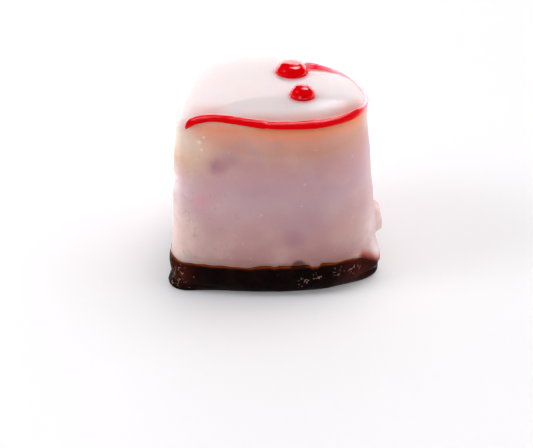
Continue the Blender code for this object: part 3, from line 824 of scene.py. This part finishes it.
def glaze_material():
    """Milky pink glaze over berry mousse: banded, blotched, glossy on top and waxy on the wall, with
    painted light: a red-orange glow by the line, red reflections by the drops, pallor at the point and
    the right lobe, highlights on flecks and shade along its lower edge.
    """
    material, tree, shader = new_material("milky_pink_glaze", {
        "Subsurface Weight": 1.0, "Subsurface Radius": (1.0, 0.55, 0.42),
        "Subsurface Scale": 0.0030, "IOR": 1.18, "Coat IOR": 1.5, "Coat Roughness": 0.3})
    places = tree.places()
    height = places.part("Z")
    drift = places.noise(0.07, 2.0) - 0.5
    level = (height + drift * 6.0) * (1 / RIM_HEIGHT)
    bands = [(stop / RIM_HEIGHT, colour) for stop, colour in GLAZE_BANDS]
    colour = tree.node("ShaderNodeValToRGB", {"stops": bands}, {0: level})

    cloud = places.noise(0.15).rises(0.45, 0.72)
    colour = tree.mix(colour, (0.76, 0.53, 0.47), cloud * 0.35)
    mauve = places.noise(0.12, 2.0, stretch=(1.0, 1.0, 1.9)).rises(0.52, 0.76)
    colour = tree.mix(colour, (0.54, 0.36, 0.42), mauve * 0.35)
    wobble = places.noise(0.4) * 1.3 + 0.35
    # Spots of colour, some of them painted pallor for light at the point and the right lobe
    for place, radius, tint, strength in GLAZE_BLOTCHES_AND_PAINTED_PALLOR:
        colour = tree.mix(colour, tint, places.near(place, radius) * wobble * strength)

    near_line = tree.attribute("line_near")
    top_share = tree.attribute("top_share")
    # Painted light: the line's red-orange glow on the wall below it, and a red glow and shade on the top
    # beside it; under the rim away from the line the painted orange glow of the bands is taken out
    away_from_glow = level.rises(29.5 / RIM_HEIGHT, 36.5 / RIM_HEIGHT) * near_line.rises(0.36, 0.08)
    colour = tree.mix(colour, WALL_AWAY_FROM_GLOW, away_from_glow)
    colour = tree.mix(colour, WALL_LINE_GLOW, near_line.rises(0.60, 0.97) * 0.78)
    above = tree.mix(TOP_COLOUR, TOP_LINE_GLOW_AND_SHADE, near_line.rises(0.40, 0.93))
    place, radius, tint, strength = TIP_BLUSH
    above = tree.mix(above, tint, places.near(place, radius) * strength)
    # Painted reflection: red on the top in front of each drop
    for name, radius in DROP_REFLECTIONS:
        above = tree.mix(above, TOP_DROP_REFLECTION,
                         places.near(drop_reflection_middle(name), radius + 1.0, radius - 0.3) * 0.75)
    colour = tree.mix(colour, above, top_share)
    # Flecks: the white ones are painted highlights on raised bumps
    for place, radius, tint, _ in GLAZE_FLECKS_AND_GLINTS:
        colour = tree.mix(colour, tint, places.near(place, radius))
    above_edge = tree.attribute("above_edge")
    # Painted shade: darker along the glaze's lower edge over the chocolate
    colour = tree.mix(colour, (0.20, 0.07, 0.06), above_edge.rises(0.9, 0.0) * 0.5)
    for place, radius, core, strength in DARK_SHOWING:
        colour = tree.mix(colour, (0.15, 0.042, 0.038), places.near(place, radius, core) * strength)
    veil = places.near(*VEIL)
    colour = tree.mix(colour, (0.52, 0.155, 0.115), veil * above_edge.rises(2.6, 1.0))
    colour = tree.mix(colour, (0.16, 0.016, 0.007), veil * above_edge.rises(1.5, 0.2))
    colour = tree.mix(colour, (0.95, 0.88, 0.90), places.near(*VEIL_WHITE) * 0.85)

    left = places.near(*LEFT_CORNER).rises(0.05, 0.35)
    hair = (places.noise(0.42, 0.0) - 0.5).math("ABSOLUTE").rises(0.034, 0.012)
    hair = hair * places.noise(0.6, 1.0).rises(0.52, 0.60) * left
    colour = tree.mix(colour, (0.46, 0.29, 0.25), hair * 0.34)
    grain = places.noise(2.4, 3.0, 0.6)
    wall = 1.0 - top_share
    speckle = places.noise(0.9, 1.0).rises(0.735, 0.78) * wall
    colour = tree.mix(colour, (0.88, 0.78, 0.76), speckle * 0.3)
    colour = tree.mix(colour, (0.42, 0.27, 0.27), grain.rises(0.4, 0.8) * wall * 0.10)
    colour.into(shader, "Base Color")

    waxy = wall * (left * 0.3 + 0.3) * (1.0 - veil * above_edge.rises(2.9, 1.5))
    waxy.into(shader, "Coat Weight")
    (wall * (grain * 0.14 + 0.26) + 0.07).into(shader, "Roughness")
    swell = places.noise(0.5, 2.0) * 0.30 + grain * 0.04
    tree.bump(wall * swell - hair * 0.06, 0.12).into(shader, "Normal")
    return material


def drop_reflection_middle(name):
    """Where the painted red reflection of a drop on the glaze is centred: a little in front of the drop.
    """
    plan = np.array(DROPS[name][0]) + (0.39, -0.46)
    return (*plan, DROP_FOOT + float(np.dot(plan, TOP_SLOPE)))


def jelly_material(name, ior, dull):
    """Clear red jelly, deep and glossy; where it is thin, paler and streaked, the paleness partly a
    painted reflection of the bright backdrop, and given a painted glow by emission there and at the
    line's root.
    """
    material, tree, shader = new_material(name, {
        "Subsurface Weight": 0.3, "Subsurface Radius": (1.0, 0.7, 0.7),
        "Subsurface Scale": 0.0008, "IOR": ior, "Emission Strength": 0.36})
    places = tree.places()
    cloudy = places.noise(0.7)
    colour = tree.mix((0.88, 0.0002, 0.002), (0.97, 0.0006, 0.005), cloudy)
    root = places.near(*LINE_ROOT)
    colour = tree.mix(colour, (0.95, 0.012, 0.060), root)
    streaks = places.noise(0.9, 2.0, stretch=(0.35, 1.0, 1.0))
    # Paleness: thinner jelly, and partly a painted reflection of the bright backdrop
    pale = tree.attribute("pale") * (streaks * 0.8 + 0.5)
    colour = tree.mix(colour, (0.97, 0.58, 0.70), pale)
    colour = tree.mix(colour, (1.0, 0.84, 0.85), pale.rises(0.85, 1.25))
    # Painted highlight: a paler spot for the glint of a bubble in the small drop
    colour = tree.mix(colour, (0.80, 0.20, 0.25), places.near(*BUBBLE_GLINT))
    colour.into(shader, "Base Color")
    # Painted glow: emission where the jelly is thin and at the line's root, for light passing through it
    painted_glow = pale.rises(0.02, 0.3) + root
    tree.mix((0.0, 0.0, 0.0), colour, painted_glow).into(shader, "Emission Color")
    (cloudy * 0.03 + dull).into(shader, "Roughness")
    tree.bump(places.noise(0.9, 2.0), 0.03, 0.3).into(shader, "Normal")
    return material


def chocolate_material():
    """Dark chocolate: near black, browner at spots, with painted light: an orange highlight along its
    upper edge and pale glints on its lace.
    """
    material, tree, shader = new_material("dark_chocolate", {"IOR": 1.42, "Specular IOR Level": 0.03})
    places = tree.places()
    blotch = places.noise(0.35)
    colour = tree.mix((0.0038, 0.0010, 0.0010), (0.011, 0.0026, 0.0024), blotch.rises(0.4, 0.75))
    for place, radius, tint, strength in CHOCOLATE_TINTS:
        colour = tree.mix(colour, tint, places.near(place, radius) * strength)
    below = tree.attribute("below_edge")
    ragged = below + places.noise(0.8, 2.0) * 0.35
    # Painted light: a browner band below the glaze's edge and an orange line at it, for light through
    # the chocolate's lit upper edge
    colour = tree.mix(colour, (0.060, 0.012, 0.0045), ragged.rises(1.1, 0.25) * 0.8)
    covered = sum(places.near(*ball) for ball in EDGE_COVERED)
    colour = tree.mix(colour, (0.30, 0.050, 0.006), ragged.rises(0.68, 0.28) * (1.0 - covered) * 0.85)
    lace = tree.attribute("lace")
    # Pale lace: crinkled skin, its glints painted in as pale colour
    colour = tree.mix(colour, (0.36, 0.21, 0.16), lace.rises(0.2, 0.8) * 0.95)
    flecks = tree.node("ShaderNodeTexVoronoi", None, {"Vector": places, "Scale": 0.5}, "Distance")
    sparse = places.noise(0.4, 1.0).rises(0.56, 0.60)
    colour = tree.mix(colour, (0.40, 0.22, 0.13), flecks.rises(0.075, 0.03) * sparse)
    colour.into(shader, "Base Color")
    (0.34 + blotch * 0.15).into(shader, "Roughness")
    (lace * 0.35).into(shader, "Coat Weight")
    relief = places.noise(0.9, 4.0, 0.6) * (lace * 0.6 + 0.12)
    tree.bump(relief, 0.2).into(shader, "Normal")
    return material


def floor_material():
    """Matt pale card that glows faintly."""
    material, tree, shader = new_material("pale_card", {
        "Roughness": 0.6, "Specular IOR Level": 0.2, "Emission Strength": 0.12})
    weave = tree.places().noise(0.02, 2.0)
    tree.mix((0.95, 0.945, 0.955), (0.97, 0.965, 0.972), weave).into(shader, "Base Color")
    return material


# Studio

def floor():
    half = 1.5
    corners = [(-half, -half, 0.0), (half, -half, 0.0), (half, half, 0.0), (-half, half, 0.0)]
    mesh = bpy.data.meshes.new("floor")
    mesh.from_pydata(corners, [], [(0, 1, 2, 3)])
    mesh.materials.append(floor_material())
    piece = new_object("floor", mesh)


def view_axes():
    """Unit vectors of the photograph's view: towards the camera, to the right and up."""
    back = np.array([math.sin(VIEW_AZIMUTH) * math.cos(VIEW_ELEVATION),
                     -math.cos(VIEW_AZIMUTH) * math.cos(VIEW_ELEVATION), math.sin(VIEW_ELEVATION)])
    right = np.array([math.cos(VIEW_AZIMUTH), math.sin(VIEW_AZIMUTH), 0.0])
    return back, right, np.cross(back, right)


def aim(piece, place, target):
    """Put a camera or light at a place, in millimetres, looking at a target."""
    piece.location = Vector(place) * MM
    piece.rotation_euler = (Vector(target) - Vector(place)).to_track_quat("-Z", "Y").to_euler()


def camera():
    lens = bpy.data.cameras.new("camera")
    lens.sensor_width = SENSOR_WIDTH
    lens.lens = FOCAL_PIXELS / IMAGE_WIDTH * SENSOR_WIDTH
    lens.clip_start = 0.01
    piece = new_object("camera", lens)
    aim(piece, np.array(VIEW_TARGET) + view_axes()[0] * VIEW_DISTANCE, VIEW_TARGET)
    bpy.context.scene.camera = piece


def heading(azimuth, elevation):
    """Unit vector at degrees to the right of straight behind the cake, and up."""
    turn = VIEW_AZIMUTH - math.radians(azimuth)
    lift = math.radians(elevation)
    return np.array([-math.sin(turn) * math.cos(lift), math.cos(turn) * math.cos(lift), math.sin(lift)])


def left_light():
    """A square soft light on the left, which nothing mirrors."""
    lamp = bpy.data.lights.new("left_box", "AREA")
    lamp.shape = "SQUARE"
    lamp.size = LEFT_SIZE * MM
    lamp.energy = LEFT_POWER
    piece = new_object("left_box", lamp)
    piece.visible_glossy = False
    aim(piece, CAKE_MIDDLE + heading(*LEFT_HEADING) * LEFT_DISTANCE, CAKE_MIDDLE)


def surroundings():
    """A bright wall of light low behind the cake and round its sides, and a dimmer room.

    A soft round box hangs high on the right. In mirrored light, `shine`, the wall is brighter
    and ends sooner round the sides, the room is nearly dark, and there are a streaky patch
    just over the wall, a round window in place of the box, dimmer in its middle, and a faint
    glow on the left. Each part is 1 inside its edges and 0 outside, softly.
    """
    world = bpy.data.worlds.new("studio")
    bpy.context.scene.world = world
    world.use_nodes = True
    tree = Tree(world.node_tree)
    way = tree.node("ShaderNodeTexCoord", output="Generated")
    lift = way.part("Z")
    behind = way.vector("DOT_PRODUCT", heading(0.0, 0.0), "Value")
    across = way.vector("DOT_PRODUCT", view_axes()[1], "Value")
    shine = tree.node("ShaderNodeLightPath", output="Is Glossy Ray")
    under_top = lift + across.rises(-0.03, -0.22) * 0.058
    backdrop = under_top.rises(BACKDROP_TOP + 0.008, BACKDROP_TOP - 0.008)
    backdrop = backdrop * behind.rises(shine * 1.2 - 0.75, shine * 0.68)
    colour = tree.mix(ROOM_LOW, ROOM_HIGH, lift.rises(0.45, 0.78))
    colour = tree.mix(colour, ROOM_MIRRORED, shine)
    colour = tree.mix(colour, tree.mix(BACKDROP_LIT, BACKDROP_MIRRORED, shine), backdrop)
    patch = across.rises(0.02, 0.09) * across.rises(0.21, 0.13)
    patch = patch * lift.rises(0.512, 0.535) * lift.rises(0.615, 0.565) * behind.rises(0.0, 0.2)
    streaks = way.noise(9.0, 3.0, 0.6, (1.0, 1.0, 5.0)).rises(0.3, 0.6) * 0.6 + 0.4
    colour = tree.mix(colour, PATCH, patch * streaks * shine)

    colour = tree.mix(colour, BOX, way.disc(BOX_HEADING, BOX_RIM) * (1.0 - shine))
    hot = way.disc(WINDOW_HEADING, HOT_RIM) * (1.0 - way.disc(WINDOW_HEADING, HOT_MIDDLE) * 0.75)
    window = tree.mix(WINDOW, WINDOW_HOT, hot)
    colour = tree.mix(colour, window, way.disc(WINDOW_HEADING, WINDOW_RIM) * shine)
    colour = tree.mix(colour, SIDE_GLOW, way.disc(SIDE_HEADING, SIDE_RIM) * shine)
    colour.into(world.node_tree.nodes["Background"], "Color")
    bpy.context.scene.view_settings.view_transform = "Standard"


def main():
    heart = Heart(MOUSSE_STEPS)
    top = MousseTop(heart)
    jelly = jelly_material("red_jelly", 1.5, 0.02)
    beads = line_beads(heart, top)
    glazed_mousse(heart, top, beads, glaze_material())
    piped_line(*beads, jelly_material("thin_red_jelly", 1.34, 0.11))
    for name in DROPS:
        jelly_drop(name, top, jelly)
    chocolate_slab(Heart(SLAB_STEPS), chocolate_material())

    floor()
    camera()
    surroundings()
    left_light()


main()
